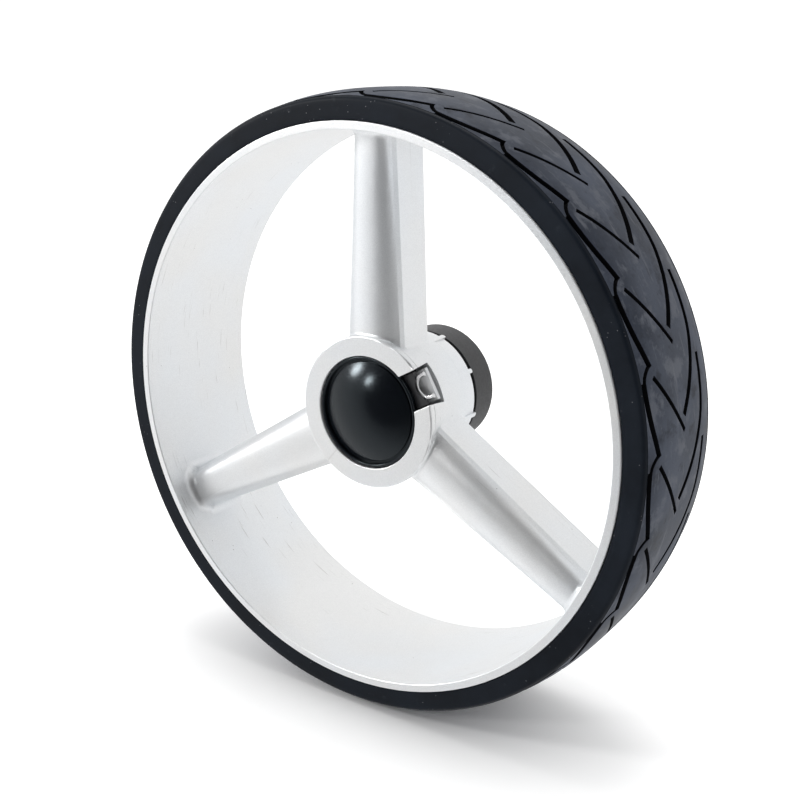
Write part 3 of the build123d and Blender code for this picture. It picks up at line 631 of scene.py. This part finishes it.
def add_sides(mesh):
    """Shoulders, sidewalls and seat, whose points meet those at the tiles' edges."""
    count = TILE_COLUMNS * PITCHES
    profile = [(crown(TREAD_EDGES[0]), TREAD_EDGES[0])] + side_profile()
    profile.append((crown(TREAD_EDGES[1]), TREAD_EDGES[1]))
    rings = [[mesh.verts.new(tyre_point(r, TREAD_PHASE + 360 * j / count, d)) for j in range(count)]
             for r, d in profile]
    for low, high in zip(rings, rings[1:]):
        for j in range(count):
            k = (j + 1) % count
            mesh.faces.new((low[j], low[k], high[k], high[j]))


def add_tyre():
    """Solid tyre with its grooved tread as real relief."""
    mesh = bmesh.new()
    add_tread(mesh)
    add_sides(mesh)
    bmesh.ops.remove_doubles(mesh, verts=mesh.verts, dist=WELD)
    bmesh.ops.recalc_face_normals(mesh, faces=mesh.faces)
    for face in mesh.faces:
        face.smooth = True
    for edge in mesh.edges:
        edge.smooth = not edge.is_manifold or edge.calc_face_angle() < SHARP_EDGE
    tyre = mesh_object("tyre_with_tread", mesh)
    weighted = tyre.modifiers.new("even shading", "WEIGHTED_NORMAL")
    weighted.weight = SHADING_WEIGHT
    weighted.keep_sharp = True
    for finish in (wall_finish(), tread_finish(), groove_shade_finish()):
        tyre.data.materials.append(finish)
    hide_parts("tyre")
    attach(tyre, "wheel")


# --- Catch springs ------------------------------------------------------------------------------
LATCH_DEG = 30.0
SPRING_SPAN = (-22.4, -9.0)        # along the catch's direction, which runs out from the axle
SPRING_DEPTH = 18.75
SPRING_OFFSET = 8.0
SPRING_RADIUS = 2.0                # to the middle of the wire
WIRE_RADIUS = 0.35
WIRE_SIDES = 10
SPRING_TURNS = 7
TURN_STEPS = 32


def latch_vector(along, across=0.0, back=0.0):
    """Vector in metres from millimetres along and across the catch's direction and towards +Y."""
    a = radians(LATCH_DEG)
    return Vector((along * cos(a) - across * sin(a), back, along * sin(a) + across * cos(a))) * MM


def add_coil(mesh, across):
    """Coil of round wire, capped at both ends, beside the axle."""
    start, stop = SPRING_SPAN[0] + WIRE_RADIUS, SPRING_SPAN[1] - WIRE_RADIUS
    steps = SPRING_TURNS * TURN_STEPS
    middle = Vector((0.0, at(SPRING_DEPTH), 0.0))
    rise = latch_vector((stop - start) / (2 * pi * SPRING_TURNS))
    angles = [2 * pi * i / WIRE_SIDES for i in range(WIRE_SIDES)]
    rings = []
    for k in range(steps + 1):
        turn = 2 * pi * SPRING_TURNS * k / steps
        outward = latch_vector(0, cos(turn), sin(turn))
        forward = latch_vector(0, -sin(turn), cos(turn)) * SPRING_RADIUS + rise
        level = outward.cross(forward).normalized() * MM
        centre = middle + latch_vector(start + (stop - start) * k / steps, across) + outward * SPRING_RADIUS
        rings.append([mesh.verts.new(centre + (outward * cos(a) + level * sin(a)) * WIRE_RADIUS)
                      for a in angles])
    for low, high in zip(rings, rings[1:]):
        for i in range(WIRE_SIDES):
            j = (i + 1) % WIRE_SIDES
            mesh.faces.new((low[i], low[j], high[j], high[i])).smooth = True
    for end in (rings[0], rings[-1]):
        mesh.faces.new(end)


def add_springs():
    """Two springs of the catch, which shorten as it is pressed; here they are built at one length."""
    mesh = bmesh.new()
    for across in (-SPRING_OFFSET, SPRING_OFFSET):
        add_coil(mesh, across)
    bmesh.ops.recalc_face_normals(mesh, faces=mesh.faces)
    springs = mesh_object("coiled_springs", mesh)
    springs.data.materials.append(metal_finish("spring wire", STEEL, 0.30))
    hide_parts("catch_springs")
    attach(springs, "wheel")
    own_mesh(springs)


# --- Finishes of the CAD parts ------------------------------------------------------------------
def finish_parts():
    """Gives every CAD part its material."""
    plated = metal_finish("zinc plate", (0.84, 0.85, 0.86), 0.40, metallic=0.2)
    ground = metal_finish("ground steel", STEEL, 0.24, (30.0, 1500.0, 30.0))
    phosphated = metal_finish("phosphated steel", (0.10, 0.10, 0.11), 0.50)
    oxide = metal_finish("black oxide", (0.06, 0.06, 0.065), 0.38)
    finishes = {
        "wheel_moulding": silver_finish(),
        "hub_cap": black_finish("gloss cap", 0.17, (0.0032, 0.0040, 0.0055), 1400.0, 0.000003,
                                Specular_IOR_Level=0.34, Specular_Tint=(0.80, 0.93, 1.0, 1.0)),
        "latch_carrier": black_finish("carrier black", 0.45),
        "catch_slider": black_finish("catch black", 0.35),
        "drive_collar": black_finish("collar black", 0.48, (0.028, 0.028, 0.030)),
        "shaft_seal": black_finish("seal rubber", 0.55, (0.022, 0.022, 0.023)),
        "latch_plate": plated,
        "thrust_washer": plated,
        "latch_rivets": metal_finish("rivet steel", BRIGHT_STEEL, 0.28),
        "thumb_loop": metal_finish("drawn wire", BRIGHT_STEEL, 0.18, (900.0, 900.0, 60.0)),
        "carrier_screws": oxide,
        "collar_screws": oxide,
        "axle_sleeve": ground,
        "inner_spacer": metal_finish("turned aluminium", (0.78, 0.79, 0.80), 0.30),
        "sleeve_circlip": phosphated,
        "bearing_retaining_ring": phosphated,
    }
    race = metal_finish("race steel", (0.68, 0.69, 0.70), 0.20)
    ball = metal_finish("ball steel", BRIGHT_STEEL, 0.06)
    cage = metal_finish("pressed cage", (0.56, 0.56, 0.57), 0.35)
    shield = metal_finish("pressed shield", (0.62, 0.62, 0.63), 0.30)
    for end in ("front", "rear"):
        finishes[end + "_outer_race"] = race
        finishes[end + "_inner_race"] = race
        finishes[end + "_balls"] = ball
        finishes[end + "_cage"] = cage
        finishes[end + "_shields"] = shield
    for name, material in finishes.items():
        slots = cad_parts[name].data.materials
        slots.clear()
        slots.append(material)


add_camera()
add_floor()
add_lights()
add_tyre()
add_springs()
finish_parts()
